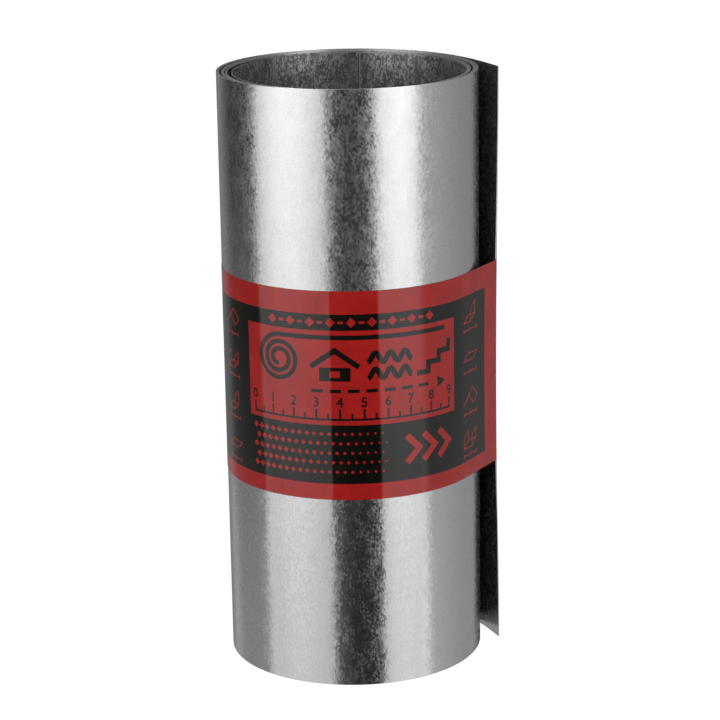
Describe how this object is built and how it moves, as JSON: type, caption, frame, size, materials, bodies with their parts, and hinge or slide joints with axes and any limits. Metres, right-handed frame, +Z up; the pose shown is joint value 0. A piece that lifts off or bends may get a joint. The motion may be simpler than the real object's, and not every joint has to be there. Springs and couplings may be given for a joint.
{
  "type": "roll flashing",
  "caption": "Roll of thin galvanised sheet flashing standing on its end, its free end sprung off the roll and held by a printed red film band.",
  "frame": {"origin": "middle of the footprint on the floor: the centre of the bounding box's bottom, 3.9 mm to the free end's side of the bore's axis", "axes": "+Z up along the roll's axis, +X towards the side where the free end stands out, -Y towards the front of the printed band"},
  "size_m": [0.1184, 0.1104, 0.254],
  "materials": {
    "galvanised_sheet": "bright zinc coating with fine spangle and rolling streaks",
    "printed_film": "glossy printed film, red with black panels"
  },
  "bodies": {
    "root": {"sheet_roll": "galvanised_sheet", "label_band": "printed_film"}
  },
  "joints": []
}
